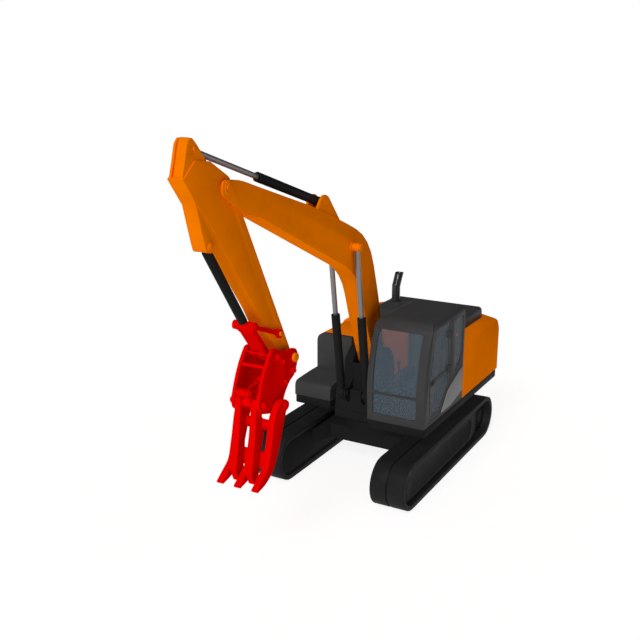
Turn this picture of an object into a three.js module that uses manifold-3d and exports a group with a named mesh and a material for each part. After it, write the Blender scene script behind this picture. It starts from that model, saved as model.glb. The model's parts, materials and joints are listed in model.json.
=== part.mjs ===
// A 1:14 remote-control excavator with a log and demolition grapple, as separate named pieces.
// Millimetres. X is forward, Y is to the left and Z is up. Pieces are drawn about the slew axis
// at X = 0, Y = 0 with the ground at Z = 0, and the last lines move the group to its own frame.
import * as THREE from "three";
import { mergeVertices } from "three/addons/utils/BufferGeometryUtils.js";
import Module from "manifold-3d";

const wasm = await Module();
wasm.setup();

// ---------------------------------------------------------------- driving dimensions
const GAP = 0.3; // clearance between pieces that touch
const SLEW_X = -107; // slew axis in the group's frame, whose origin is under the middle of the box

const TRACK = { outer: 100, width: 41, radius: 27.5, reach: 119.1, belt: 5.8, groove: 1.8 };
const DECK = { bottom: 69.3, top: 79.4, half: 94.6, rear: -172.2, tail: -175.5 };
const CAB = { front: 80.3, rear: -39.6, right: 22.4, left: 94.6, roof: 200.1, wall: 2.6, round: 10 };
const BOX = { front: 50.7, inner: -44, face: -6, step: 98, top: 147 };
const COVER = { front: -75.3, top: 153.4, shoulder: 138, wall: 2.6 };
const HOOD = { rear: -157, right: -53, left: 75, top: 169.8 };

// Pivots in the X, Z plane
const FOOT = [24, 134]; // boom foot
const NOSE = [331, 378.6]; // boom to stick
const BOOM_BASE = [71.8, 104]; // boom cylinders on the house
const BOOM_EYE = [101, 288]; // boom cylinders on the boom
const STICK_BASE = [157, 344]; // stick cylinder on the boom
const STICK_EYE = [371, 413.5]; // stick cylinder on the stick
const TIP = [235, 199.5]; // stick to grapple
const ROCKER = [252.5, 227.7]; // rocker links on the stick
const TOGGLE = [296, 245]; // rocker links, power link and grapple cylinder
const EAR = [266.5, 208]; // power link on the grapple
const CURL_BASE = [355.4, 330.7]; // grapple cylinder on the stick
const FRONT_JAW = [292, 167];
const REAR_JAW = [263, 159];
const JAW_BASE = [239, 187]; // jaw cylinder on the grapple frame
const JAW_EYE = [300, 179.5]; // jaw cylinder on the front jaw

const BOOM_HALF = 11; // half-widths along Y
const STICK_HALF = 8.2;
const GRAPPLE_INNER = 12.8;
const GRAPPLE_OUTER = 16.2;
const CYLINDER_Y = 16.8;
const ROUND = 12; // facets round a pin
const TUBE = 16; // facets round a barrel or wheel

// ---------------------------------------------------------------- materials
const paint = (color, roughness = 0.45, metalness = 0) =>
  new THREE.MeshStandardMaterial({ color, roughness, metalness });
const ORANGE = paint(0xee7700);
const RED = paint(0xe30400);
const CAB_GREY = paint(0x3c3c3c);
const BLACK = paint(0x1e1e1e);
const RUBBER = paint(0x1a1a1a, 0.8);
const STEEL = paint(0xa8a8a8, 0.25, 1);
const ACCENT = paint(0x747474);
const GLASS = new THREE.MeshStandardMaterial({
  color: 0x49525b,
  roughness: 0.1,
  metalness: 0,
  transparent: true,
  opacity: 0.45,
});

// ---------------------------------------------------------------- solids
function solid(geometry) {
  geometry.deleteAttribute("normal");
  geometry.deleteAttribute("uv");
  const merged = mergeVertices(geometry, 1e-4);
  return new wasm.Manifold(
    new wasm.Mesh({
      numProp: 3,
      vertProperties: merged.attributes.position.array,
      triVerts: new Uint32Array(merged.index.array),
    }),
  );
}

const join = (first, ...rest) => rest.reduce((sum, next) => sum.add(next), first);
const cut = (first, ...tools) => tools.reduce((left, tool) => left.subtract(tool), first);
const both = (make) => join(make(1), make(-1)); // the same piece on the left and on the right

function box([x0, x1], [y0, y1], [z0, z1]) {
  const geometry = new THREE.BoxGeometry(x1 - x0, y1 - y0, z1 - z0);
  return solid(geometry.translate((x0 + x1) / 2, (y0 + y1) / 2, (z0 + z1) / 2));
}

// A cylinder between two points
function bar(from, to, radius, facets = ROUND, endRadius = radius) {
  const a = new THREE.Vector3(...from);
  const b = new THREE.Vector3(...to);
  const along = b.clone().sub(a);
  const geometry = new THREE.CylinderGeometry(endRadius, radius, along.length(), facets);
  const up = new THREE.Vector3(0, 1, 0);
  geometry.applyQuaternion(new THREE.Quaternion().setFromUnitVectors(up, along.clone().normalize()));
  const middle = a.add(b).multiplyScalar(0.5);
  return solid(geometry.translate(middle.x, middle.y, middle.z));
}

// A cylinder along Y at a pivot [x, z]
const across = ([x, z], [y0, y1], radius, facets) => bar([x, y0, z], [x, y1, z], radius, facets);

// A closed outline. Each point is [u, v] or [u, v, c], and c is how far from its corner a curve starts.
// Where two curves on one side would meet, both are made smaller.
function outline(points) {
  const shape = new THREE.Shape();
  const wrapped = (i) => points[(i + points.length) % points.length];
  const at = (i) => new THREE.Vector2(...wrapped(i).slice(0, 2));
  const blend = (i) => wrapped(i)[2] ?? 0;
  const share = (i) => {
    const wanted = blend(i) + blend(i + 1);
    return wanted ? Math.min(1, (0.96 * at(i).distanceTo(at(i + 1))) / wanted) : 1;
  };
  points.forEach((_, i) => {
    const corner = at(i);
    const start = blend(i) * Math.min(share(i - 1), share(i));
    const enter = corner.clone().add(at(i - 1).sub(corner).setLength(start));
    const leave = corner.clone().add(at(i + 1).sub(corner).setLength(start));
    if (i === 0) shape.moveTo(enter.x, enter.y);
    else shape.lineTo(enter.x, enter.y);
    if (start) shape.quadraticCurveTo(corner.x, corner.y, leave.x, leave.y);
  });
  shape.closePath();
  return shape;
}

function extrude(shape, depth, facets) {
  const options = { depth, bevelEnabled: false, curveSegments: facets };
  return new THREE.ExtrudeGeometry(shape, options);
}

const asShape = (form) => (Array.isArray(form) ? outline(form) : form);

// An outline in X, Z with its thickness along Y
function slab(form, [y0, y1], facets = 3) {
  const geometry = extrude(asShape(form), y1 - y0, facets);
  return solid(geometry.rotateX(Math.PI / 2).translate(0, y1, 0));
}

// An outline in X, Y with its thickness along Z
function plate(form, [z0, z1], facets = 3) {
  return solid(extrude(asShape(form), z1 - z0, facets).translate(0, 0, z0));
}

// An outline in Y, Z with its thickness along X
function rail(form, [x0, x1], facets = 3) {
  const turn = new THREE.Matrix4().set(0, 0, 1, x0, 1, 0, 0, 0, 0, 1, 0, 0, 0, 0, 0, 1);
  return solid(extrude(asShape(form), x1 - x0, facets).applyMatrix4(turn));
}


// Two circles and the straight sides that touch both, as a link or a rounded lug
function linkShape([x0, z0], r0, [x1, z1], r1) {
  const angle = Math.atan2(z1 - z0, x1 - x0);
  const lean = Math.acos((r0 - r1) / Math.hypot(x1 - x0, z1 - z0));
  const shape = new THREE.Shape();
  shape.absarc(x0, z0, r0, angle + lean, angle - lean + 2 * Math.PI);
  shape.absarc(x1, z1, r1, angle - lean, angle + lean);
  shape.closePath();
  return shape;
}

const link = (a, ra, b, rb, span, facets = 3) => slab(linkShape(a, ra, b, rb), span, facets);

function stadium(reach, radius, height) {
  return linkShape([-reach, height], radius, [reach, height], radius);
}

const mirrorSpan = (side, near, far) => (side > 0 ? [near, far] : [-far, -near]);

// ---------------------------------------------------------------- the scene
const excavator = new THREE.Group();
excavator.name = "rc_excavator";

function node(name, material, manifold) {
  const mesh = manifold.getMesh();
  const geometry = new THREE.BufferGeometry();
  geometry.setAttribute("position", new THREE.BufferAttribute(mesh.vertProperties.slice(), 3));
  geometry.setIndex(new THREE.BufferAttribute(mesh.triVerts.slice(), 1));
  geometry.computeVertexNormals();
  const piece = new THREE.Mesh(geometry, material);
  piece.name = name;
  excavator.add(piece);
}

// ---------------------------------------------------------------- undercarriage
const SIDES = [
  ["left", 1],
  ["right", -1],
];

function trackFrame() {
  const [top, bottom] = [44, 25];
  const flange = TRACK.outer - TRACK.width + 1.4;
  const cross = [
    [66, -flange],
    [37, -50.2],
    [37, 50.2],
    [66, flange],
    [-66, flange],
    [-37, 50.2],
    [-37, -50.2],
    [-66, -flange],
  ];
  const drum = bar([0, 0, top - 1], [0, 0, 56], 46, 32, 42);
  node("track_frame", BLACK, join(plate(cross, [bottom, top]), drum));
  const ring = bar([0, 0, 56 + GAP], [0, 0, DECK.bottom - GAP], 40, 32);
  node("slew_ring", BLACK, cut(ring, bar([0, 0, 50], [0, 0, 80], 30 + GAP, 32)));
}

function trackSide(name, side) {
  const { outer, width, radius, reach, belt, groove } = TRACK;
  const inner = outer - width;
  const middle = outer - width / 2;
  const span = (near, far) => mirrorSpan(side, near, far);
  const axleRear = [-reach, radius];
  const axleFront = [reach, radius];
  const wheel = radius - belt - GAP;

  const loop = (r, y) => slab(stadium(reach, r, radius), y, 6);
  const band = join(
    loop(radius - groove, span(inner + 1, outer - 1)),
    loop(radius, span(inner, middle - 1.1)),
    loop(radius, span(middle + 1.1, outer)),
  );
  node(`belt_${name}`, RUBBER, cut(band, loop(radius - belt, span(inner - 1, outer + 1))));

  // The side frame: a web between an outer panel, cut short at the rear, and a full inner panel
  const panelRear = -75;
  const panel = loop(wheel, span(outer - 5, outer - 1.8));
  const rear = box([-200, panelRear], span(outer - 6, outer), [0, 60]);
  const recess = slab(
    linkShape([panelRear + 21, radius + 3], 14.5, [reach - 4, radius + 3], 14.5),
    span(outer - 2.8, outer),
    4,
  );
  const lowerEdge = rail(
    [
      [side * (outer - 1.7), 20],
      [side * (outer - 1.7), 4],
      [side * (outer - 4.5), 4],
    ],
    [panelRear - 1, reach + radius],
  );
  const outerPanel = cut(panel, rear, recess, lowerEdge);
  const innerPanel = loop(wheel, span(inner + 1.7, inner + 4.5));
  const web = box([-92, 92], span(inner + 4, outer - 4.5), [radius - 20.5, radius + 20.5]);
  const idlerAxle = across(axleFront, span(inner + 4, outer - 4.5), 4);
  const driveHub = across(axleRear, span(inner + 4, middle - 1), 9);
  node(`side_frame_${name}`, BLACK, join(innerPanel, web, outerPanel, idlerAxle, driveHub));

  const idler = across(axleFront, span(inner + 6, outer - 6), wheel, 24);
  const idlerWaist = cut(
    across(axleFront, span(middle - 4, middle + 4), wheel + 1, 24),
    across(axleFront, span(middle - 5, middle + 5), wheel - 2, 24),
  );
  const idlerBore = across(axleFront, span(inner, outer), 4.4);
  node(`idler_${name}`, BLACK, cut(idler, idlerWaist, idlerBore));

  const teeth = 12;
  const toothed = new THREE.Shape();
  for (let i = 0; i < teeth * 4; i += 1) {
    const r = i % 4 < 2 ? wheel : wheel - 2.2;
    const turn = ((i + 0.5) / (teeth * 4)) * 2 * Math.PI;
    const [x, z] = [axleRear[0] + r * Math.cos(turn), radius + r * Math.sin(turn)];
    if (i === 0) toothed.moveTo(x, z);
    else toothed.lineTo(x, z);
  }
  const sprocket = slab(toothed, span(inner + 6, outer - 9));
  const sprocketBore = across(axleRear, span(inner, middle), 9.4);
  const cap = across(axleRear, span(outer - 9.5, outer - 7), 10);
  node(`sprocket_${name}`, BLACK, join(cut(sprocket, sprocketBore), cap));
}

// ---------------------------------------------------------------- house
function deck() {
  const { bottom, top, half, rear } = DECK;
  const form = [
    [rear, -half, 5],
    [BOX.front, -half, 4],
    [BOX.front, BOX.inner],
    [20, BOX.inner],
    [20, -28.2],
    [68, -28.2],
    [68, CAB.right],
    [CAB.front, CAB.right],
    [CAB.front, half, 4],
    [rear, half, 5],
  ];
  const spigot = bar([0, 0, 57], [0, 0, bottom + 1], 30, 32);
  node("deck", BLACK, join(plate(form, [bottom, top]), spigot));
}

function pedestal() {
  const floor = DECK.top + GAP;
  const ear = [
    [56, 100],
    [55.5, 138, 3],
    [40, 154, 8],
    [22, 154, 10],
    [8, 138, 8],
    [2, floor],
    [60, floor],
  ];
  const nose = [
    [67.6, floor],
    [63.5, 105, 2],
    [40, 105],
    [40, floor],
  ];
  const seat = [
    [50, floor],
    [59.5, 85.2],
    [69.8, 95.6],
    [65, 97.6],
    [50, 97.6],
  ];
  const lug = [
    [50, floor],
    [64, 88],
    [76.5, 98, 3],
    [77, 109, 3],
    [66, 109, 3],
    [50, 125],
  ];
  const base = box([2, 60], [-21.5, 21.5], [floor, 86]);
  const side = (s) =>
    join(
      slab(ear, mirrorSpan(s, BOOM_HALF + GAP, 21.5)),
      slab(seat, mirrorSpan(s, 9, 21.9)),
      slab(lug, mirrorSpan(s, 9.4, 11.4)),
    );
  const front = box([52.5, 55.5], [-21.5, 21.5], [80, 137]);
  const bracket = join(base, front, slab(nose, [-27.9, CAB.right - GAP]), both(side));
  const footBore = across(FOOT, [-30, 30], 4 + GAP);
  const baseBore = across(BOOM_BASE, [-30, 30], 2.6 + GAP);
  node("boom_pedestal", BLACK, cut(bracket, footBore, baseBore));
  node("boom_foot_pin", BLACK, across(FOOT, [-21.4, 21.4], 4));
  for (const [name, side] of SIDES) {
    const pin = join(
      across(BOOM_BASE, mirrorSpan(side, 8.8, 22.1), 2.6),
      across(BOOM_BASE, mirrorSpan(side, 7.4, 9.1), 4),
    );
    node(`boom_cylinder_base_pin_${name}`, BLACK, pin);
  }
}

function toolBox() {
  const floor = DECK.top + GAP;
  const [right, inner] = [-DECK.half, BOX.inner];
  const step = slab(
    [
      [BOX.face - 6, floor],
      [BOX.front, floor],
      [BOX.front, BOX.step, 7],
      [BOX.face - 6, BOX.step + 5],
    ],
    [right, inner],
  );
  const wall = rail(
    [
      [right, floor],
      [right, BOX.top, 12],
      [inner, BOX.top],
      [inner, floor],
    ],
    [BOX.face - 6, BOX.face],
    6,
  );
  const shoulder = rail(
    [
      [right - 2, 60],
      [right, 60],
      [right, BOX.step + 5, 7],
      [0, BOX.step + 5],
      [0, 160],
      [right - 2, 160],
    ],
    [BOX.face, 60],
    6,
  );
  node("tool_box", CAB_GREY, join(cut(step, shoulder), wall));
  const cover = rail(
    [
      [right, floor],
      [right, BOX.top, 12],
      [inner, BOX.top],
      [inner, floor],
    ],
    [COVER.front + GAP, BOX.face - 6 - GAP],
    6,
  );
  const hollow = rail(
    [
      [right + COVER.wall, floor - 1],
      [right + COVER.wall, BOX.top - COVER.wall, 10],
      [inner - COVER.wall, BOX.top - COVER.wall],
      [inner - COVER.wall, floor - 1],
    ],
    [COVER.front + GAP + COVER.wall, BOX.face - 6 - GAP - COVER.wall],
    6,
  );
  node("tank_cover", ORANGE, cut(cover, hollow));
}

// The cross-section of the engine cover in Y, Z, shrunk by a wall thickness
function coverSection(wall, floor, right) {
  const [half, top] = [DECK.half - wall, COVER.top - wall];
  return [
    [right, floor],
    [right, top - 5, 10],
    [right + 25, top],
    [half - 25, top],
    [half - 3, top - 4.5, 4],
    [half, COVER.shoulder, 3.5],
    [half, floor],
  ];
}

function engineCover() {
  const floor = DECK.top + GAP;
  const { front, wall } = COVER;
  const rear = DECK.tail;
  const cabSide = CAB.rear - GAP;
  const trough = CAB.right;
  const body = rail(coverSection(0, floor, -DECK.half), [rear, cabSide], 6);
  const inside = rail(coverSection(wall, floor - 1, -DECK.half + wall), [rear + wall, cabSide - wall], 6);
  const channel = box([front, 0], [-100, trough], [0, 200]);
  const channelWall = box([front - wall, 0], [-100, trough + wall], [0, 200]);
  const roundTail = plate(
    [
      [rear - 9, -110],
      [rear + 9, -110],
      [rear, -DECK.half, 9],
      [rear, DECK.half, 9],
      [rear + 9, 110],
      [rear - 9, 110],
    ],
    [0, 200],
  );
  const shell = cut(body, channel, cut(inside, channelWall));
  const skirt = box([rear, DECK.rear - GAP], [-DECK.half + 8, DECK.half - 8], [70, floor + 4]);
  node("engine_cover", ORANGE, join(cut(shell, roundTail), skirt));

  const hoodFloor = COVER.top + GAP;
  const hood = slab(
    [
      [HOOD.rear, hoodFloor],
      [HOOD.rear, HOOD.top, 7],
      [cabSide, HOOD.top, 2],
      [cabSide, hoodFloor],
    ],
    [HOOD.right, HOOD.left],
  );
  const hoodSide = rail(
    [
      [HOOD.right, hoodFloor - 1],
      [HOOD.right, HOOD.top, 7],
      [HOOD.left, HOOD.top, 7],
      [HOOD.left, hoodFloor - 1],
    ],
    [-200, 0],
  );
  const notch = box([front + 1, 0], [-100, trough], [100, 200]);
  node("engine_hood", BLACK, cut(hood.intersect(hoodSide), notch));
}

function exhaust() {
  const [x, y] = [-126, -38.5];
  const base = HOOD.top + GAP;
  const bend = [x, y, 190.5];
  const end = [x - 11, y, 209.5];
  const lower = (r, z) => bar([x, y, z], [x, y, bend[2]], r, 12);
  const upper = (r) => bar(bend, end, r, 12);
  const elbow = (r) => solid(new THREE.SphereGeometry(r, 12, 8).translate(...bend));
  const outer = join(lower(5.7, base), elbow(5.7), upper(5.7), bar([x, y, base], [x, y, base + 1.5], 8, 12));
  const bore = join(lower(4.6, base + 8), elbow(4.6), bar(bend, [x - 16.5, y, 219], 4.6, 12));
  const slant = box([x - 40, x + 20], [y - 10, y + 10], [207.5, 230]);
  node("exhaust_pipe", BLACK, cut(outer, bore, slant));
}

// ---------------------------------------------------------------- cab
const DOOR = { rear: 8.5, front: 66, hingeY: 96.2 };
const cabFloor = DECK.top + GAP;

// The cab's outline in X, Z, shrunk by a wall thickness
function cabProfile(wall) {
  return [
    [CAB.rear + wall, cabFloor + wall],
    [CAB.front - wall, cabFloor + wall],
    [83.5 - wall, 130, 20],
    [72 - wall, 178, 14],
    [58 - wall, CAB.roof - wall, 12],
    [CAB.rear + wall, CAB.roof - wall, 4],
  ];
}

const DOOR_FORM = [
  [DOOR.rear, 194, 2],
  [DOOR.rear, 113, 4],
  [35, 86, 4],
  [66, 86, 3],
  [69, 134, 8],
  [54, 194, 4],
];
const UPPER_PANE = [
  [12, 191, 2],
  [12, 135.5, 2],
  [64.5, 131.5, 3],
  [64, 142, 6],
  [51.5, 191, 3],
];
const LOWER_PANE = [
  [12, 130, 2],
  [12, 114.5, 4],
  [36.5, 90, 4],
  [62.5, 90, 3],
  [63.5, 126, 3],
];
const REAR_PANE = [
  [-33, 190, 3],
  [-33, 145, 8],
  [-10.5, 120, 3],
  [-7, 190, 3],
];

// Pushes every point of an outline away from its middle, or towards it when the distance is negative
function grown(form, distance) {
  const middle = form.reduce(([x, z], p) => [x + p[0] / form.length, z + p[1] / form.length], [0, 0]);
  return form.map(([x, z, blend]) => {
    const away = new THREE.Vector2(x - middle[0], z - middle[1]);
    away.setLength(away.length() + distance * 1.3);
    return [middle[0] + away.x, middle[1] + away.y, blend];
  });
}

// The cab's rounded cross-section, shrunk by a wall thickness
function cabSection(wall) {
  return rail(
    [
      [CAB.right + wall, cabFloor - 1],
      [CAB.right + wall, CAB.roof - wall, CAB.round - wall],
      [CAB.left - wall, CAB.roof - wall, CAB.round - wall],
      [CAB.left - wall, cabFloor - 1],
    ],
    [CAB.rear - 1, 90],
    5,
  );
}

function cab() {
  const { right, left, wall, rear } = CAB;
  const inside = slab(cabProfile(wall), [right + wall, left - wall], 6).intersect(cabSection(wall));
  const shell = cut(slab(cabProfile(0), [right, left], 6).intersect(cabSection(0)), inside);
  const frontForm = (low, high, inset) => [
    [right + 7.2 + inset, low, 3.5],
    [left - 10 - inset, low, 3.5],
    [left - 10 - inset, high, 3.5],
    [right + 7.2 + inset, high, 3.5],
  ];
  const frontHole = (low, high) => rail(frontForm(low, high, 0), [52, 95]);
  const sideWindow = [
    [-33, 190, 3],
    [-33, 112, 3],
    [68, 96, 4],
    [70, 140, 10],
    [56, 190, 4],
  ];
  const openings = [
    frontHole(89, 114.4),
    frontHole(116.6, 188),
    slab(grown(DOOR_FORM, GAP), [left - wall - 1, left + 1]),
    slab(REAR_PANE, [left - wall - 1, left + 1]),
    slab(sideWindow, [right - 1, right + wall + 1]),
    box([rear - 1, rear + wall + 1], [right + 8, left - 8], [160, 190]),
  ];
  node("cab_shell", CAB_GREY, cut(shell, ...openings));

  // Panes sit in the middle of the wall with a gap all round
  const paneY = [left - 1.9, left - 0.7];
  node("side_window_rear", GLASS, slab(grown(REAR_PANE, -GAP), paneY));
  const pane = (low, high) => {
    const sheet = cut(slab(cabProfile(0.7), [right + 6, left - 8.8], 6), slab(cabProfile(1.9), [0, 120], 6));
    return sheet.intersect(rail(frontForm(low, high, GAP + 0.1), [58, 90]));
  };
  node("windscreen_lower", GLASS, pane(89.4, 114));
  node("windscreen_upper", GLASS, pane(117, 187.6));
  node("side_window_right", GLASS, slab(grown(sideWindow, -GAP), [right + 0.7, right + 1.9]));

  // The light panel on the cab's side behind the door
  const accent = [
    [-36, 122],
    [-36, 92],
    [0, 84.5],
    [31, 84.5, 1],
    [11, 106.8, 8],
    [-12.5, 115.3, 10],
    [-31, 121.5, 3],
  ];
  node("accent_panel", ACCENT, slab(accent, [left + GAP / 2, left + 1]));
}

function cabDoor() {
  const { left, wall } = CAB;
  const hinge = (z) => [
    bar([DOOR.rear, DOOR.hingeY, z - 4], [DOOR.rear, DOOR.hingeY, z + 4], 1.4, 12),
    box([DOOR.rear, DOOR.rear + 5], [left - 0.5, DOOR.hingeY + 0.7], [z - 4, z + 4]),
  ];
  const frame = cut(
    slab(DOOR_FORM, [left - wall, left]).intersect(cabSection(0)),
    slab(UPPER_PANE, [left - 9, left + 9]),
    slab(LOWER_PANE, [left - 9, left + 9]),
  );
  const handle = box([55, 63], [left - 0.2, left + 1.6], [127.6, 130.4]);
  node("cab_door", CAB_GREY, join(frame, ...hinge(176), ...hinge(134), handle));
  const paneY = [left - 1.9, left - 0.7];
  node("door_glass_upper", GLASS, slab(grown(UPPER_PANE, -GAP), paneY));
  node("door_glass_lower", GLASS, slab(grown(LOWER_PANE, -GAP), paneY));
}

function cabInterior() {
  const { right, left, wall } = CAB;
  const floor = cabFloor + wall + GAP;
  const middle = (right + left) / 2;
  const wide = (half) => [middle - half, middle + half];
  const cushion = slab(
    [
      [-22, 104, 2],
      [22, 102, 3],
      [23, 112, 4],
      [-22, 110, 2],
    ],
    wide(15),
  );
  const backrest = slab(
    [
      [-22, 106],
      [-12, 106],
      [-17, 160, 4],
      [-27, 160, 4],
    ],
    wide(14),
  );
  const headrest = slab(
    [
      [-27, 158],
      [-18, 158],
      [-20, 173, 3],
      [-28, 173, 3],
    ],
    wide(8),
  );
  const plinth = box([-16, 14], wide(10), [floor + 2 + GAP, 104]);
  node("operator_seat", BLACK, join(plinth, cushion, backrest, headrest));

  const console = (side) => {
    const y = middle + side * 22;
    const body = slab(
      [
        [-14, floor],
        [26, floor],
        [32, 116, 2],
        [30, 121, 2],
        [-14, 121, 3],
      ],
      [y - 4.6, y + 4.6],
    );
    const lever = bar([24, y, 119], [26, y, 134], 1.3, 8);
    const knob = solid(new THREE.SphereGeometry(2.6, 8, 6).translate(26.2, y, 135.5));
    return join(body, lever, knob);
  };
  const mat = box([-14, 60], wide(30), [floor, floor + 2]);
  node("cab_consoles", BLACK, join(mat, both(console)));
}

// ---------------------------------------------------------------- hydraulic cylinders
// A barrel with an eye on its base pin, open at the gland for the rod
function barrelSolid(base, eye, y, { radius, bore, start, length, eyeRadius, eyeHalf, pin }) {
  const along = new THREE.Vector2(eye[0] - base[0], eye[1] - base[1]).normalize();
  const at = (d) => [base[0] + along.x * d, y, base[1] + along.y * d];
  const tube = bar(at(start), at(length), radius, TUBE);
  const hole = bar(at(start + 4), at(length + 5), bore, TUBE);
  const knuckle = join(
    across(base, [y - eyeHalf, y + eyeHalf], eyeRadius),
    bar(at(eyeRadius * 0.5), at(start + 0.5), radius * 0.8, 8),
  );
  const pinBore = across(base, [y - 30, y + 30], pin + GAP);
  return cut(join(tube, knuckle), hole, pinBore);
}

// A rod with an eye on its far pin
function rodSolid(base, eye, y, { radius, inside, eyeRadius, eyeHalf, pin, piston }) {
  const along = new THREE.Vector2(eye[0] - base[0], eye[1] - base[1]);
  const span = along.length();
  along.normalize();
  const at = (d) => [base[0] + along.x * d, y, base[1] + along.y * d];
  const shaft = bar(at(inside), at(span - pin - 0.5), radius, ROUND);
  const head = bar(at(inside), at(inside + 4), piston, ROUND);
  const ring = across(eye, [y - eyeHalf, y + eyeHalf], eyeRadius);
  const pinBore = across(eye, [y - 30, y + 30], pin + GAP);
  return cut(join(shaft, head, ring), pinBore);
}

function boomCylinders() {
  for (const [name, side] of SIDES) {
    const y = side * CYLINDER_Y;
    const barrel = {
      radius: 5.1,
      bore: 4.4,
      start: 8,
      length: 101,
      eyeRadius: 5.2,
      eyeHalf: 4.2,
      pin: 2.6,
    };
    const rod = { radius: 3, inside: 40, eyeRadius: 4.6, eyeHalf: 4.2, pin: 2.8, piston: 3 };
    node(`boom_cylinder_barrel_${name}`, BLACK, barrelSolid(BOOM_BASE, BOOM_EYE, y, barrel));
    node(`boom_cylinder_rod_${name}`, STEEL, rodSolid(BOOM_BASE, BOOM_EYE, y, rod));
  }
}

function stickCylinder() {
  const barrel = {
    radius: 4.8,
    bore: 4.1,
    start: 9,
    length: 120,
    eyeRadius: 5.4,
    eyeHalf: 4,
    pin: 2.6,
  };
  const rod = { radius: 2.7, inside: 60, eyeRadius: 4.8, eyeHalf: 4, pin: 2.6, piston: 2.7 };
  node("stick_cylinder_barrel", BLACK, barrelSolid(STICK_BASE, STICK_EYE, 0, barrel));
  node("stick_cylinder_rod", STEEL, rodSolid(STICK_BASE, STICK_EYE, 0, rod));
}

function curlCylinder() {
  const barrel = {
    radius: 4.5,
    bore: 3.7,
    start: 7,
    length: 98.3,
    eyeRadius: 5,
    eyeHalf: 4,
    pin: 2.6,
  };
  const rod = { radius: 2.3, inside: 30, eyeRadius: 4.8, eyeHalf: 4, pin: 2.6, piston: 2.4 };
  node("grapple_cylinder_barrel", BLACK, barrelSolid(CURL_BASE, TOGGLE, 0, barrel));
  node("grapple_cylinder_rod", BLACK, rodSolid(CURL_BASE, TOGGLE, 0, rod));
}

// ---------------------------------------------------------------- boom
function boom() {
  const profile = [
    [196, 346.5],
    [123, 320, 38],
    [58, 292, 44],
    [31, 214, 14],
    [12, 136, 8],
    [22, 121, 8],
    [37, 132, 6],
    [48, 155, 10],
    [66, 197, 16],
    [87, 255, 42],
    [131, 276, 20],
    [284, 346.5],
    [307, 352, 6],
    [341, 372, 7],
    [339, 386, 7],
    [314, 383.5, 10],
    [286, 374.5, 6],
  ];
  const beam = slab(profile, [-BOOM_HALF, BOOM_HALF], 4);
  const lug = [
    [176, 335],
    [164.5, 349, 3],
    [157, 352.5, 4],
    [149.5, 349, 3],
    [122, 317],
  ];
  const ears = both((s) => slab(lug, mirrorSpan(s, 5.2, 8.2)));
  const boss = join(
    across(BOOM_EYE, [-12.3, 12.3], 5.6),
    both((s) => across(NOSE, mirrorSpan(s, BOOM_HALF - 1, BOOM_HALF + 0.8), 6.4)),
  );
  const fork = slab(
    [
      [299, 400],
      [293, 372, 6],
      [291, 335],
      [360, 335],
      [360, 400],
    ],
    [-STICK_HALF - GAP, STICK_HALF + GAP],
  );
  const bores = [
    across(FOOT, [-30, 30], 4 + GAP),
    across(NOSE, [-30, 30], 3.6 + GAP),
    across(BOOM_EYE, [-30, 30], 2.8 + GAP),
    across(STICK_BASE, [-30, 30], 2.6 + GAP),
  ];
  node("boom", ORANGE, cut(join(beam, ears, boss), fork, ...bores));

  const headed = (pivot, half, radius, cap) =>
    join(
      across(pivot, [-half, half], radius),
      both((s) => across(pivot, mirrorSpan(s, half - 1.4, half), cap)),
    );
  node("boom_cylinder_top_pin", ORANGE, headed(BOOM_EYE, 22.7, 2.8, 4.4));
  node("stick_cylinder_base_pin", ORANGE, across(STICK_BASE, [-8.4, 8.4], 2.6));
  node("stick_pivot_pin", ORANGE, across(NOSE, [-12.4, 12.4], 3.6));
}

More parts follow.
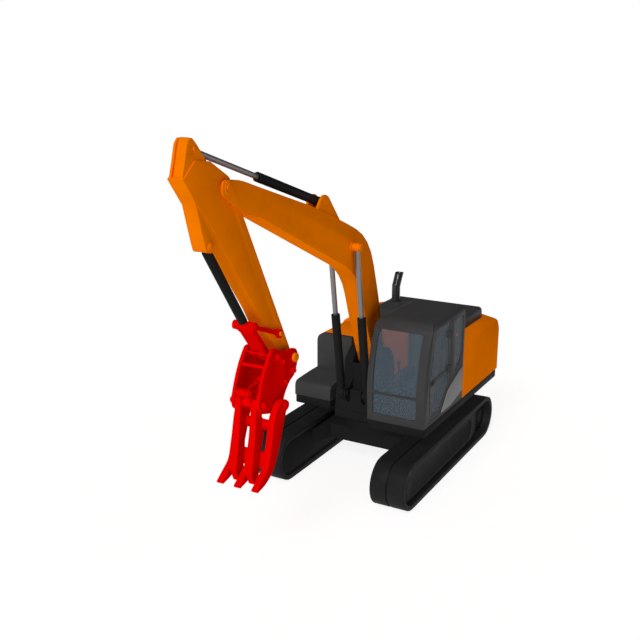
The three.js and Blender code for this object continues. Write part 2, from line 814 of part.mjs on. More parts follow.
// ---------------------------------------------------------------- stick
function stick() {
  const body = [
    [389.5, 390.5],
    [372.5, 405, 2],
    [353, 402.5],
    [339, 394.5],
    [326, 387, 3],
    [307, 350.5, 12],
    [TIP[0] - 7.2, TIP[1] + 3, 4],
    [TIP[0] - 2, TIP[1] - 7.6, 5],
    [TIP[0] + 8, TIP[1] - 4, 5],
    [270, 230.5, 4],
    [287, 258],
    [342, 332],
    [357, 352],
    [373, 369],
  ];
  const beam = slab(body, [-STICK_HALF, STICK_HALF], 3);
  const flange = [
    [389.3, 390.8],
    [385, 404],
    [381, 419, 3],
    [375.5, 424, 3],
    [369, 418, 3],
    [356, 403],
    [340, 395],
    [360, 385],
  ];
  const flanges = both((s) => slab(flange, mirrorSpan(s, 4.4, 6.9)));
  const recess = box([376, 395], [-4.4, 4.4], [392, 430]);
  const hood = [
    [387, 389.5],
    [378.4, 420, 2],
    [375, 423.3],
    [371, 419.7],
    [372.5, 419.2],
    [375, 418.6],
    [383.6, 391.5],
    [383, 387],
  ];
  const cylinderLug = [
    [386, 390],
    [373, 368],
    [363.5, 335, 3],
    [360.5, 326, 3],
    [351, 324.5, 4],
    [341, 336],
    [352, 352],
  ];
  const lugs = slab(cylinderLug, [-7.4, 7.4]);
  const boss = both((s) => across(CURL_BASE, mirrorSpan(s, 7, 8.4), 4.2));
  const rodRoom = slab(
    [
      [316, 384.5],
      [352, 388.5],
      [366, 399],
      [381, 409],
      [381, 430],
      [316, 430],
    ],
    [-4.4, 4.4],
  );
  const cylinderRoom = slab(linkShape(CURL_BASE, 5.7, [346, 318], 6.4), [-4.6, 4.6], 3);
  const bores = [
    across(NOSE, [-30, 30], 3.6 + GAP),
    across(STICK_EYE, [-30, 30], 2.6 + GAP),
    across(CURL_BASE, [-30, 30], 2.6 + GAP),
    across(ROCKER, [-30, 30], 2.4 + GAP),
    across(TIP, [-30, 30], 3.4 + GAP),
  ];
  const made = join(cut(beam, rodRoom, recess), flanges, slab(hood, [-4.6, 4.6]), lugs, boss);
  node("stick", ORANGE, cut(made, cylinderRoom, ...bores));
  node("stick_cylinder_rod_pin", ORANGE, across(STICK_EYE, [-7.6, 7.6], 2.6));
  node("grapple_cylinder_base_pin", ORANGE, across(CURL_BASE, [-9, 9], 2.6));
  node("rocker_pin", ORANGE, across(ROCKER, [-13, 13], 2.4));
  const tipPin = join(
    across(TIP, [-19, 19], 3.4),
    both((s) => across(TIP, mirrorSpan(s, GRAPPLE_OUTER + GAP, 19.4), 4.6)),
  );
  node("grapple_pin", ORANGE, tipPin);
}

// ---------------------------------------------------------------- grapple linkage
function linkage() {
  for (const [name, side] of SIDES) {
    const rocker = join(
      link(ROCKER, 2.2, TOGGLE, 2.2, mirrorSpan(side, 8.8, 11.8)),
      across(ROCKER, mirrorSpan(side, 8.6, 12), 4.6),
      across(TOGGLE, mirrorSpan(side, 8.6, 12), 4.6),
    );
    const bores = [across(ROCKER, [-30, 30], 2.4 + GAP), across(TOGGLE, [-30, 30], 2.6 + GAP)];
    node(`rocker_${name}`, RED, cut(rocker, ...bores));
  }
  node("toggle_pin", RED, across(TOGGLE, [-13, 13], 2.6));

  // The power link is a plate with two eyes at each end
  const away = new THREE.Vector2(EAR[0] - TOGGLE[0], EAR[1] - TOGGLE[1]).normalize();
  const near = [TOGGLE[0] + away.x * 8.6, TOGGLE[1] + away.y * 8.6];
  const far = [EAR[0] - away.x * 8.6, EAR[1] - away.y * 8.6];
  const eyes = (pivot, toward) => both((s) => link(pivot, 4.6, toward, 2.4, mirrorSpan(s, 4.5, 8.3)));
  const web = link(near, 2.4, far, 2.4, [-8.3, 8.3]);
  const bores = [across(TOGGLE, [-30, 30], 2.6 + GAP), across(EAR, [-30, 30], 2.8 + 2 * GAP)];
  node("power_link", RED, cut(join(web, eyes(TOGGLE, near), eyes(EAR, far)), ...bores));
}

// ---------------------------------------------------------------- grapple
function grappleFrame() {
  const cheek = [
    [TIP[0] - 8, TIP[1] + 3, 5],
    [TIP[0] - 3, 208.6, 4],
    [248, 208.6, 4],
    [262, 214, 4],
    [268, 217.6, 4],
    [274.5, 217.8, 3],
    [286, 203.5, 14],
    [294.5, 185, 12],
    [300, 168, 6],
    [297, 159.5, 4],
    [276, 153.5, 6],
    [258, 151.5, 6],
    [255.5, 164, 8],
    [243, 177.5, 6],
    [234.5, 180.5, 4],
    [228.5, 191, 5],
  ];
  const cheeks = both((s) => slab(cheek, mirrorSpan(s, GRAPPLE_INNER, GRAPPLE_OUTER), 2));
  const tie = (pivot, radius, reach) => across(pivot, [-reach, reach], radius, 8);
  const ties = join(
    tie([281.5, 201], 1.8, 14),
    tie([255.5, 201], 2.2, 19),
    tie([251.5, 178.5], 2.2, 18.6),
    tie([275, 212], 0.9, 14),
  );
  const bores = [
    across(TIP, [-30, 30], 3.4 + GAP),
    across(EAR, [-30, 30], 2.8 + GAP),
    across(FRONT_JAW, [-30, 30], 3 + GAP),
    across(REAR_JAW, [-30, 30], 3 + GAP),
    across(JAW_BASE, [-30, 30], 2.2 + GAP),
  ];
  node("grapple_frame", RED, cut(join(cheeks, ties), ...bores));

  const headed = (pivot, radius, half, cap) =>
    join(
      across(pivot, [-half, half], radius),
      both((s) => across(pivot, mirrorSpan(s, GRAPPLE_OUTER + GAP, half - 1.8), cap)),
    );
  node("power_link_pin", RED, headed(EAR, 2.8, 20.6, 4));
  node("jaw_cylinder_pin", RED, headed(JAW_BASE, 2.2, 20.4, 3.4));
  node("front_jaw_pin", RED, headed(FRONT_JAW, 3, 20.8, 4.2));
}

function jaws() {
  // The front jaw: two straight tines under a hub, with lugs for the jaw cylinder above it
  const frontTine = [
    [FRONT_JAW[0] - 4, 163],
    [FRONT_JAW[0] + 1, 173, 3],
    [298, 172, 3],
    [300.5, 144, 14],
    [304, 120, 16],
    [309.5, 101, 4],
    [304, 87.5, 2],
    [297.5, 88, 2],
    [294, 112, 16],
    [290.3, 138, 10],
  ];
  const tines = both((s) => slab(frontTine, mirrorSpan(s, 5.9, 12.4)));
  const hub = across(FRONT_JAW, [-12.4, 12.4], 5.2);
  const lugs = both((s) => link(FRONT_JAW, 4.8, JAW_EYE, 3.9, mirrorSpan(s, 4.5, 7)));
  const frontBore = across(FRONT_JAW, [-30, 30], 3 + GAP);
  const pin = across(JAW_EYE, [-8.5, 8.5], 2.2);
  node("front_jaw", RED, join(cut(join(hub, tines, lugs), frontBore), pin));

  // The rear jaw: three hooked tines joined by a tube and a plate
  const rearTine = [
    [REAR_JAW[0] - 5, 158, 4],
    [REAR_JAW[0] - 2, 165.2, 4],
    [REAR_JAW[0] + 9, 165.2, 5],
    [284, 152, 6],
    [288.5, 131, 12],
    [296, 104, 6],
    [306.5, 96.8, 5],
    [317, 88.8],
    [315.5, 87],
    [299, 90.5, 10],
    [286.5, 100, 8],
    [276.5, 117.5, 14],
    [267.5, 142, 12],
    [262, 154, 6],
  ];
  const middleTine = [
    [281, 150, 3],
    [287, 145, 4],
    [288.5, 131, 8],
    [296, 104, 6],
    [306.5, 96.8, 5],
    [317, 88.8],
    [315.5, 87],
    [299, 90.5, 10],
    [286.5, 100, 8],
    [276.5, 117.5, 14],
    [271, 134, 8],
    [274, 147, 4],
  ];
  const outer = both((s) => slab(rearTine, mirrorSpan(s, 16.7, 23.7)));
  const middle = slab(middleTine, [-3.6, 3.6]);
  const hubs = both((s) => across(REAR_JAW, mirrorSpan(s, 16.7, 24.6), 4.7));
  const tube = across([280, 142], [-17.5, 17.5], 5.4, 12);
  const brace = slab(
    [
      [289.5, 117],
      [292.5, 101.5],
      [288, 99.5],
      [284, 115.5],
    ],
    [-17.5, 17.5],
  );
  const journals = both((s) => across(REAR_JAW, mirrorSpan(s, 9, 25.4), 3));
  node("rear_jaw", RED, join(outer, middle, hubs, tube, brace, journals));

  const barrel = {
    radius: 4,
    bore: 3.2,
    start: 6,
    length: 38,
    eyeRadius: 4.4,
    eyeHalf: 4,
    pin: 2.2,
  };
  const rod = { radius: 2, inside: 24, eyeRadius: 3.9, eyeHalf: 4, pin: 2.2, piston: 2.1 };
  node("jaw_cylinder_barrel", RED, barrelSolid(JAW_BASE, JAW_EYE, 0, barrel));
  node("jaw_cylinder_rod", RED, rodSolid(JAW_BASE, JAW_EYE, 0, rod));
}

// ---------------------------------------------------------------- assembly
trackFrame();
for (const [name, side] of SIDES) trackSide(name, side);
deck();
pedestal();
toolBox();
engineCover();
exhaust();
cab();
cabDoor();
cabInterior();
boom();
boomCylinders();
stick();
stickCylinder();
curlCylinder();
linkage();
grappleFrame();
jaws();

excavator.position.x = SLEW_X;
export default excavator;
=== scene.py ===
"""Looks of a 1:14 remote-control excavator with a log grapple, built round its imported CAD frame.

Metres, X forward, Y to the machine's left and Z up, with the ground at Z = 0.
"""

import json
import logging
import math
from dataclasses import dataclass
from enum import Enum

import bpy
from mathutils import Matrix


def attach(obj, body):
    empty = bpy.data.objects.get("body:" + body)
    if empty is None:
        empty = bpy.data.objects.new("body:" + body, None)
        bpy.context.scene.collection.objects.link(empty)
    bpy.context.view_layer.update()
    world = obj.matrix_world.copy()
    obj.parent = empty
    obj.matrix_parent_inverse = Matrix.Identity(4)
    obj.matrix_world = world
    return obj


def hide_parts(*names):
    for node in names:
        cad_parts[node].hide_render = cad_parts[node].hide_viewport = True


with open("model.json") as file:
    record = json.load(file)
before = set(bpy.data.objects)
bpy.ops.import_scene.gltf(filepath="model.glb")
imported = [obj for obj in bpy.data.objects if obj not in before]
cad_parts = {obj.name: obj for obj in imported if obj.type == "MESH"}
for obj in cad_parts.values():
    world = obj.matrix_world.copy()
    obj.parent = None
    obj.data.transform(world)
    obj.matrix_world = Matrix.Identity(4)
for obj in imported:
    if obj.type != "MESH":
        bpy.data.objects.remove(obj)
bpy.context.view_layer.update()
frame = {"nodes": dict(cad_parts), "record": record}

MM = 0.001

MERGE_MM = 0.01  # points of a CAD node closer than this are one
FLAT_DEG = 1.0  # faces that meet at less than this are one flat face
EDGE_STEPS = 2  # flat strips that make up one rounded edge

log = logging.getLogger("excavator")


# ------------------------------------------------------------------ colour and nodes
def linear(hex_colour: str) -> tuple[float, float, float, float]:
    """Turns an sRGB hex value into a linear colour.

    Args:
        hex_colour: Six hex digits, with or without a leading hash.

    Returns:
        Red, green, blue and an alpha of 1.
    """
    digits = hex_colour.lstrip("#")
    values = [int(digits[i : i + 2], 16) / 255 for i in (0, 2, 4)]
    red, green, blue = (v / 12.92 if v <= 0.04045 else ((v + 0.055) / 1.055) ** 2.4 for v in values)
    return red, green, blue, 1.0


def scaled(colour: tuple[float, ...], factor: float) -> tuple[float, float, float, float]:
    """Returns a linear colour made lighter or darker by a factor."""
    return colour[0] * factor, colour[1] * factor, colour[2] * factor, 1.0


def add_node(
    tree: bpy.types.NodeTree,
    kind: str,
    inputs: dict[str, object] | None = None,
    links: dict[str, bpy.types.NodeSocket] | None = None,
    **settings: object,
) -> bpy.types.Node:
    """Adds a shader node with its settings, input values and links.

    Args:
        tree: The material's or world's node tree.
        kind: The node's Blender type name.
        inputs: Input socket names and their constant values.
        links: Input socket names and the output sockets that feed them.
        settings: Other properties of the node.

    Returns:
        The new node.
    """
    node = tree.nodes.new(kind)
    for key, value in settings.items():
        setattr(node, key, value)
    for key, value in (inputs or {}).items():
        node.inputs[key].default_value = value
    for key, socket in (links or {}).items():
        tree.links.new(socket, node.inputs[key])
    return node


# ------------------------------------------------------------------ finishes
class Sheen(Enum):
    """How glossy a moulded surface comes out of its tool."""

    SATIN = 0.55
    SEMI_GLOSS = 0.42
    GLOSS = 0.28


@dataclass(frozen=True)
class Finish:
    """What every finish has: a material name and a main colour."""

    name: str
    colour: str

    def material(self) -> bpy.types.Material:
        """Builds the finish, or returns it where it is already made."""
        made = bpy.data.materials.get(self.name)
        if made:
            return made
        material = bpy.data.materials.new(self.name)
        material.use_nodes = True
        tree = material.node_tree
        shader = tree.nodes["Principled BSDF"]
        place = add_node(tree, "ShaderNodeTexCoord").outputs["Object"]
        self.paint(tree, shader, place)
        return material

    def paint(self, tree: bpy.types.NodeTree, shader: bpy.types.Node, place: bpy.types.NodeSocket) -> None:
        """Adds this finish's own nodes in front of the shader.

        Args:
            tree: The material's node tree.
            shader: Its Principled shader.
            place: The object coordinates.
        """
        raise NotImplementedError


@dataclass(frozen=True)
class MouldedPlastic(Finish):
    """Injection-moulded ABS, coloured through: even colour, soft broad sheen and a fine spark-eroded grain.

    The grain is 0.7 mm across. The real one is nearer 0.1 mm, and it is drawn coarser so that it shows.
    """

    sheen: Sheen = Sheen.SEMI_GLOSS
    specular: float = 0.3
    grain_mm: float = 0.7
    grain_height_mm: float = 0.012
    mottle: float = 0.05
    flow_mm: float = 26.0
    sheen_spread: float = 0.05
    grain_strength: float = 0.5

    def paint(self, tree: bpy.types.NodeTree, shader: bpy.types.Node, place: bpy.types.NodeSocket) -> None:
        """Adds this finish's own nodes in front of the shader."""
        flow = add_node(
            tree,
            "ShaderNodeTexNoise",
            inputs={"Scale": 1 / (self.flow_mm * MM), "Detail": 3.0, "Roughness": 0.55},
            links={"Vector": place},
        )
        tint = add_node(tree, "ShaderNodeValToRGB", links={"Fac": flow.outputs["Fac"]})
        base = linear(self.colour)
        tint.color_ramp.elements[0].position = 0.3
        tint.color_ramp.elements[0].color = scaled(base, 1 - self.mottle)
        tint.color_ramp.elements[1].position = 0.7
        tint.color_ramp.elements[1].color = scaled(base, 1 + self.mottle)
        grain = add_node(
            tree,
            "ShaderNodeTexNoise",
            inputs={"Scale": 1 / (self.grain_mm * MM), "Detail": 2.0},
            links={"Vector": place},
        )
        dull = add_node(
            tree,
            "ShaderNodeMapRange",
            inputs={
                "From Min": 0.25,
                "From Max": 0.75,
                "To Min": self.sheen.value - self.sheen_spread,
                "To Max": self.sheen.value + self.sheen_spread,
            },
            links={"Value": flow.outputs["Fac"]},
        )
        bump = add_node(
            tree,
            "ShaderNodeBump",
            inputs={"Strength": self.grain_strength, "Distance": self.grain_height_mm * MM},
            links={"Height": grain.outputs["Fac"]},
        )
        shader.inputs["Specular IOR Level"].default_value = self.specular
        shader.inputs["IOR"].default_value = 1.5
        tree.links.new(tint.outputs["Color"], shader.inputs["Base Color"])
        tree.links.new(dull.outputs["Result"], shader.inputs["Roughness"])
        tree.links.new(bump.outputs["Normal"], shader.inputs["Normal"])


@dataclass(frozen=True)
class MouldedRubber(MouldedPlastic):
    """Moulded SBR rubber of a toy belt: dull black with a coarser, soft grain and dust-grey high spots."""

    sheen: Sheen = Sheen.SATIN
    specular: float = 0.04
    grain_mm: float = 1.1
    grain_height_mm: float = 0.03
    mottle: float = 0.12


@dataclass(frozen=True)
class GroundSteel(Finish):
    """Ground and plated steel rod: satin metal with fine rings left across its length by the grinding."""

    roughness: float = 0.3
    roughness_spread: float = 0.08
    ring_mm: float = 0.8
    ring_stretch: float = 0.15

    def paint(self, tree: bpy.types.NodeTree, shader: bpy.types.Node, place: bpy.types.NodeSocket) -> None:
        """Adds this finish's own nodes in front of the shader."""
        stretched = add_node(
            tree,
            "ShaderNodeMapping",
            inputs={"Scale": (self.ring_stretch, self.ring_stretch, 1.0)},
            links={"Vector": place},
        )
        rings = add_node(
            tree,
            "ShaderNodeTexNoise",
            inputs={"Scale": 1 / (self.ring_mm * MM), "Detail": 2.0},
            links={"Vector": stretched.outputs["Vector"]},
        )
        polish = add_node(
            tree,
            "ShaderNodeMapRange",
            inputs={
                "To Min": self.roughness - self.roughness_spread,
                "To Max": self.roughness + self.roughness_spread,
            },
            links={"Value": rings.outputs["Fac"]},
        )
        shader.inputs["Metallic"].default_value = 1.0
        shader.inputs["Base Color"].default_value = linear(self.colour)
        tree.links.new(polish.outputs["Result"], shader.inputs["Roughness"])


@dataclass(frozen=True)
class TintedAcrylic(Finish):
    """Thin smoked acrylic glazing: a cool grey veil over what is behind it, with a faint gloss."""

    veil: float = 0.375  # of each face: a pane has two, so 0.61 in all
    roughness: float = 0.2
    specular: float = 0.06
    haze_mm: float = 18.0
    haze_depth: float = 0.04

    def paint(self, tree: bpy.types.NodeTree, shader: bpy.types.Node, place: bpy.types.NodeSocket) -> None:
        """Adds this finish's own nodes in front of the shader."""
        haze = add_node(
            tree,
            "ShaderNodeTexNoise",
            inputs={"Scale": 1 / (self.haze_mm * MM), "Detail": 2.0},
            links={"Vector": place},
        )
        tint = add_node(tree, "ShaderNodeValToRGB", links={"Fac": haze.outputs["Fac"]})
        base = linear(self.colour)
        tint.color_ramp.elements[0].color = scaled(base, 1 - self.haze_depth)
        tint.color_ramp.elements[1].color = scaled(base, 1 + self.haze_depth)
        shader.inputs["Alpha"].default_value = self.veil
        shader.inputs["Roughness"].default_value = self.roughness
        shader.inputs["IOR"].default_value = 1.49
        shader.inputs["Specular IOR Level"].default_value = self.specular
        tree.links.new(tint.outputs["Color"], shader.inputs["Base Color"])


ORANGE = MouldedPlastic("orange_abs", "EC7600", specular=0.0)
RED = MouldedPlastic("red_abs", "DC0200", specular=0.0)
CAB_GREY = MouldedPlastic("dark_grey_abs", "3B3B3B", specular=0.03)
BLACK = MouldedPlastic("black_abs", "1E1E1E", specular=0.01)
EXHAUST_BLACK = MouldedPlastic("polished_black_abs", "262626", specular=0.5, sheen=Sheen.GLOSS)
SEAT_GREY = MouldedPlastic("seat_grey_abs", "303236", sheen=Sheen.SATIN, specular=0.03)
ACCENT_GREY = MouldedPlastic("light_grey_abs", "808080", specular=0.03)
RUBBER = MouldedRubber("belt_rubber", "202020")
ROD_STEEL = GroundSteel("ground_steel_rod", "8A8A8A", roughness=0.55)
GLAZING = TintedAcrylic("smoked_acrylic", "56626C")


# ------------------------------------------------------------------ modelling helpers
def only(obj: bpy.types.Object) -> None:
    """Deselects all and makes one object active, because an operator acts on all that is selected."""
    if bpy.context.mode != "OBJECT":
        bpy.ops.object.mode_set(mode="OBJECT")
    bpy.ops.object.select_all(action="DESELECT")
    obj.select_set(True)
    bpy.context.view_layer.objects.active = obj


def dress(obj: bpy.types.Object, finish: Finish) -> None:
    """Gives an object one finish on all its faces."""
    obj.data.materials.clear()
    obj.data.materials.append(finish.material())


def body_of(node: str) -> str:
    """Returns the name of the moving body that a CAD node belongs to."""
    bodies = frame["record"]["behaviour"]["bodies"]
    return next(body for body, members in bodies.items() if node in members)


def pivot_of(joint: str) -> tuple[float, float, float]:
    """Returns the place of a joint's pivot at rest, in metres."""
    joints = frame["record"]["behaviour"]["joints"]
    return next(tuple(entry["pos_m"]) for entry in joints if entry["name"] == joint)


def rounded_copy(node: str, finish: Finish, edge_mm: float, smooth_deg: float = 40) -> bpy.types.Object:
    """Makes a moulded piece from a CAD node, with the small radius that a mould leaves on every edge.

    Args:
        node: The CAD node that the piece stands for.
        finish: The piece's finish.
        edge_mm: The radius on its edges, or 0 for the sawn edges of a pane.
        smooth_deg: The largest angle between faces that are shaded as one surface.

    Returns:
        The new piece, riding on the node's body.
    """
    source = frame["nodes"][node]
    piece = bpy.data.objects.new(f"{node}_moulding", source.data.copy())
    bpy.context.scene.collection.objects.link(piece)
    only(piece)
    bpy.ops.object.mode_set(mode="EDIT")
    bpy.ops.mesh.select_all(action="SELECT")
    bpy.ops.mesh.remove_doubles(threshold=MERGE_MM * MM)
    bpy.ops.mesh.dissolve_limited(angle_limit=math.radians(FLAT_DEG))
    bpy.ops.object.mode_set(mode="OBJECT")
    if edge_mm:
        bevel = piece.modifiers.new("edges", "BEVEL")
        bevel.width = edge_mm * MM
        bevel.segments = EDGE_STEPS
        bevel.limit_method = "ANGLE"
        bevel.angle_limit = math.radians(smooth_deg)
        bevel.use_clamp_overlap = True
        bpy.ops.object.modifier_apply(modifier=bevel.name)
    bpy.ops.object.shade_smooth_by_angle(angle=math.radians(smooth_deg))
    dress(piece, finish)
    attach(piece, body_of(node))
    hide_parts(node)
    log.info("moulding %s: %d faces", piece.name, len(piece.data.polygons))
    return piece


@dataclass(frozen=True)
class Tip:
    """A second finish on one end of a piece, such as a painted eye on a steel rod."""

    joint: str
    reach_mm: float
    finish: Finish

    def paint(self, piece: bpy.types.Object) -> None:
        """Gives the finish to the faces that lie near the joint's pivot, seen from the side."""
        piece.data.materials.append(self.finish.material())
        x, _, z = pivot_of(self.joint)
        for face in piece.data.polygons:
            if math.hypot(face.center.x - x, face.center.z - z) < self.reach_mm * MM:
                face.material_index = 1


# ------------------------------------------------------------------ sub-assemblies
@dataclass
class Mouldings:
    """A sub-assembly made of CAD nodes that each get rounded edges and a finish."""

    edge_mm: float

    def finishes(self) -> dict[str, Finish]:
        """Returns the CAD nodes and their finishes, in the order they are made."""
        raise NotImplementedError

    def own_edges_mm(self) -> dict[str, float]:
        """Returns the nodes whose edges have a radius of their own."""
        return {}

    def tips(self) -> dict[str, Tip]:
        """Returns the nodes that have a second finish on one end."""
        return {}

    def build(self) -> list[bpy.types.Object]:
        """Makes and dresses each piece in turn.

        Returns:
            The pieces, in the order they are listed.
        """
        edges, tips = self.own_edges_mm(), self.tips()
        pieces = []
        for node, finish in self.finishes().items():
            piece = rounded_copy(node, finish, edges.get(node, self.edge_mm))
            if node in tips:
                tips[node].paint(piece)
            pieces.append(piece)
        log.info("%s: %d pieces", type(self).__name__, len(pieces))
        return pieces


@dataclass
class Undercarriage(Mouldings):
    """The tracks, their wheels and the frame that joins them."""

    edge_mm: float = 0.8
    belt_edge_mm: float = 1.2

    def finishes(self) -> dict[str, Finish]:
        """Returns the CAD nodes and their finishes, in the order they are made."""
        finishes: dict[str, Finish] = {"track_frame": BLACK, "slew_ring": BLACK}
        for side in ("left", "right"):
            finishes |= {
                f"side_frame_{side}": BLACK,
                f"belt_{side}": RUBBER,
                f"sprocket_{side}": BLACK,
                f"idler_{side}": BLACK,
            }
        return finishes

    def own_edges_mm(self) -> dict[str, float]:
        """Returns the nodes whose edges have a radius of their own."""
        return {"belt_left": self.belt_edge_mm, "belt_right": self.belt_edge_mm}


@dataclass
class House(Mouldings):
    """The slewing deck with its covers, boxes and boom bracket."""

    edge_mm: float = 0.8
    pedestal_edge_mm: float = 0.5
    exhaust_edge_mm: float = 0.3
    tool_box_edge_mm: float = 2.0
    hood_edge_mm: float = 1.5

    def finishes(self) -> dict[str, Finish]:
        """Returns the CAD nodes and their finishes, in the order they are made."""
        return {
            "deck": BLACK,
            "boom_pedestal": BLACK,
            "boom_foot_pin": BLACK,
            "boom_cylinder_base_pin_left": BLACK,
            "boom_cylinder_base_pin_right": BLACK,
            "tool_box": CAB_GREY,
            "tank_cover": ORANGE,
            "engine_cover": ORANGE,
            "engine_hood": CAB_GREY,
            "exhaust_pipe": EXHAUST_BLACK,
        }

    def own_edges_mm(self) -> dict[str, float]:
        """Returns the nodes whose edges have a radius of their own."""
        return {
            "boom_pedestal": self.pedestal_edge_mm,
            "exhaust_pipe": self.exhaust_edge_mm,
            "tool_box": self.tool_box_edge_mm,
            "engine_hood": self.hood_edge_mm,
        }


@dataclass
class Cab(Mouldings):
    """The cab with its door, glazing, seat and consoles."""

    edge_mm: float = 0.4
    seat_edge_mm: float = 1.5
    shell_edge_mm: float = 1.0
    pane_edge_mm: float = 0.0
    panes: tuple[str, ...] = (
        "side_window_rear",
        "windscreen_lower",
        "windscreen_upper",
        "side_window_right",
        "door_glass_upper",
        "door_glass_lower",
    )

    def finishes(self) -> dict[str, Finish]:
        """Returns the CAD nodes and their finishes, in the order they are made."""
        mouldings: dict[str, Finish] = {
            "cab_shell": CAB_GREY,
            "cab_door": CAB_GREY,
            "accent_panel": ACCENT_GREY,
            "operator_seat": SEAT_GREY,
            "cab_consoles": SEAT_GREY,
        }
        return mouldings | {pane: GLAZING for pane in self.panes}

    def own_edges_mm(self) -> dict[str, float]:
        """Returns the nodes whose edges have a radius of their own."""
        frames = {"operator_seat": self.seat_edge_mm, "cab_shell": self.shell_edge_mm}
        return frames | {pane: self.pane_edge_mm for pane in self.panes}


@dataclass
class Arm(Mouldings):
    """The boom and stick with their pins and hydraulic cylinders."""

    edge_mm: float = 0.35
    beam_edge_mm: float = 0.7
    eye_reach_mm: float = 5.4  # how far from its pivot a rod's eye is painted

    def finishes(self) -> dict[str, Finish]:
        """Returns the CAD nodes and their finishes, in the order they are made."""
        return {
            "boom": ORANGE,
            "boom_cylinder_top_pin": ORANGE,
            "stick_cylinder_base_pin": ORANGE,
            "stick_pivot_pin": ORANGE,
            "stick": ORANGE,
            "stick_cylinder_rod_pin": ORANGE,
            "grapple_cylinder_base_pin": ORANGE,
            "rocker_pin": ORANGE,
            "grapple_pin": ORANGE,
            "boom_cylinder_barrel_left": BLACK,
            "boom_cylinder_barrel_right": BLACK,
            "boom_cylinder_rod_left": ROD_STEEL,
            "boom_cylinder_rod_right": ROD_STEEL,
            "stick_cylinder_barrel": BLACK,
            "stick_cylinder_rod": ROD_STEEL,
            "grapple_cylinder_barrel": BLACK,
            "grapple_cylinder_rod": ROD_STEEL,
        }

    def own_edges_mm(self) -> dict[str, float]:
        """Returns the nodes whose edges have a radius of their own."""
        return {"boom": self.beam_edge_mm, "stick": self.beam_edge_mm}

    def tips(self) -> dict[str, Tip]:
        """Returns the rods whose eyes are painted."""
        return {
            "boom_cylinder_rod_left": Tip("boom_rod_left_turn", self.eye_reach_mm, ORANGE),
            "boom_cylinder_rod_right": Tip("boom_rod_right_turn", self.eye_reach_mm, ORANGE),
            "grapple_cylinder_rod": Tip("curl_rod_turn", self.eye_reach_mm, RED),
        }


@dataclass
class Grapple(Mouldings):
    """The grapple with its links and jaws, moulded in one colour."""

    edge_mm: float = 0.3
    jaw_edge_mm: float = 0.5

    def finishes(self) -> dict[str, Finish]:
        """Returns the CAD nodes and their finishes, in the order they are made."""
        nodes = (
            "rocker_left",
            "rocker_right",
            "toggle_pin",
            "power_link",
            "grapple_frame",
            "power_link_pin",
            "jaw_cylinder_pin",
            "front_jaw_pin",
            "front_jaw",
            "rear_jaw",
            "jaw_cylinder_barrel",
            "jaw_cylinder_rod",
        )
        return {node: RED for node in nodes}

    def own_edges_mm(self) -> dict[str, float]:
        """Returns the nodes whose edges have a radius of their own."""
        return {"front_jaw": self.jaw_edge_mm, "rear_jaw": self.jaw_edge_mm}


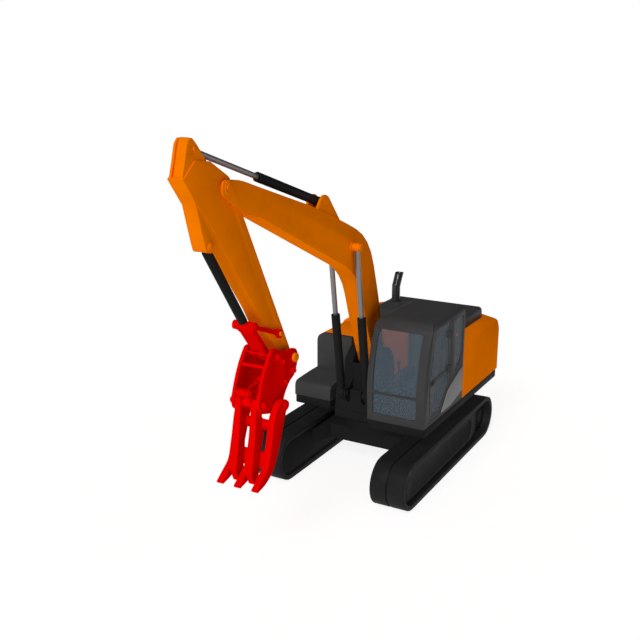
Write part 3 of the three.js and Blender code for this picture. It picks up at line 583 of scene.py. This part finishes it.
@dataclass
class Studio:
    """Pale floor, soft key and fill lights ahead of the machine, and the camera at its front left."""

    camera_at: tuple[float, float, float] = (0.846184, 0.453322, 0.475254)
    camera_yaw_deg: float = 209.554
    camera_pitch_deg: float = -15.771
    lens_mm: float = 49.77
    sensor_mm: float = 36.0
    floor_half_m: float = 12.0
    floor_drop_m: float = 0.0002  # below the tracks, so that no two faces coincide
    floor_colour: str = "F0F0F0"
    floor_roughness: float = 0.9
    floor_glow: float = 0.45
    sky: float = 0.08
    key_strength: float = 0.35
    fill_strength: float = 2.2  # from the key's side and casting no shadow, so that the cab's inside shows
    key_elevation_deg: float = 43.0
    key_softness_deg: float = 25.0

    def build(self) -> None:
        """Sets up the floor, the light and the camera."""
        self.make_floor()
        self.make_light()
        self.make_camera()

    def make_floor(self) -> None:
        """Lays a wide matt white floor that glows a little, as a lit product table does."""
        bpy.ops.object.select_all(action="DESELECT")
        bpy.ops.mesh.primitive_plane_add(size=2 * self.floor_half_m, location=(0, 0, -self.floor_drop_m))
        floor = bpy.context.active_object
        floor.name = "studio_floor"
        material = bpy.data.materials.new("matt_white_table")
        material.use_nodes = True
        shader = material.node_tree.nodes["Principled BSDF"]
        shader.inputs["Base Color"].default_value = linear(self.floor_colour)
        shader.inputs["Roughness"].default_value = self.floor_roughness
        shader.inputs["Specular IOR Level"].default_value = 0.0
        shader.inputs["Emission Color"].default_value = (1, 1, 1, 1)
        shader.inputs["Emission Strength"].default_value = self.floor_glow
        floor.data.materials.append(material)

    def make_light(self) -> None:
        """Makes a dim white room and hangs a key light and a fill light ahead of the machine."""
        world = bpy.data.worlds.new("studio_room")
        bpy.context.scene.world = world
        world.use_nodes = True
        tree = world.node_tree
        tree.nodes.clear()
        seen = add_node(tree, "ShaderNodeLightPath").outputs["Is Camera Ray"]
        level = add_node(
            tree,
            "ShaderNodeMapRange",
            inputs={"To Min": self.sky, "To Max": 1.0},
            links={"Value": seen},
        )
        room = add_node(
            tree,
            "ShaderNodeBackground",
            inputs={"Color": (1, 1, 1, 1)},
            links={"Strength": level.outputs["Result"]},
        )
        add_node(tree, "ShaderNodeOutputWorld", links={"Surface": room.outputs["Background"]})
        self.make_sun("key_light", self.key_strength, True)
        self.make_sun("fill_light", self.fill_strength, False)

    def make_sun(self, name: str, strength: float, shadows: bool) -> None:
        """Hangs one broad light ahead of the machine.

        Args:
            name: The light's name.
            strength: Its strength, in watts per square metre.
            shadows: Whether it casts shadows.
        """
        bpy.ops.object.light_add(type="SUN", location=(1.5, 0, 1.5))
        sun = bpy.context.active_object
        sun.name = name
        sun.data.energy = strength
        sun.data.use_shadow = shadows
        sun.data.angle = math.radians(self.key_softness_deg)
        sun.rotation_euler = (0, math.radians(90 - self.key_elevation_deg), 0)

    def make_camera(self) -> None:
        """Stands the camera at the machine's front left, looking slightly down."""
        data = bpy.data.cameras.new("camera")
        data.lens = self.lens_mm
        data.sensor_width = self.sensor_mm
        camera = bpy.data.objects.new("camera", data)
        camera.location = self.camera_at
        camera.rotation_euler = (
            math.radians(90 + self.camera_pitch_deg),
            0,
            math.radians(self.camera_yaw_deg - 90),
        )
        bpy.context.scene.collection.objects.link(camera)
        bpy.context.scene.camera = camera


def main() -> None:
    """Builds the studio and then each sub-assembly."""
    logging.basicConfig(level=logging.INFO, format="%(message)s")
    bpy.context.scene.view_settings.view_transform = "Standard"
    Studio().build()
    for assembly in (Undercarriage(), House(), Cab(), Arm(), Grapple()):
        assembly.build()


if __name__ == "__main__":
    main()
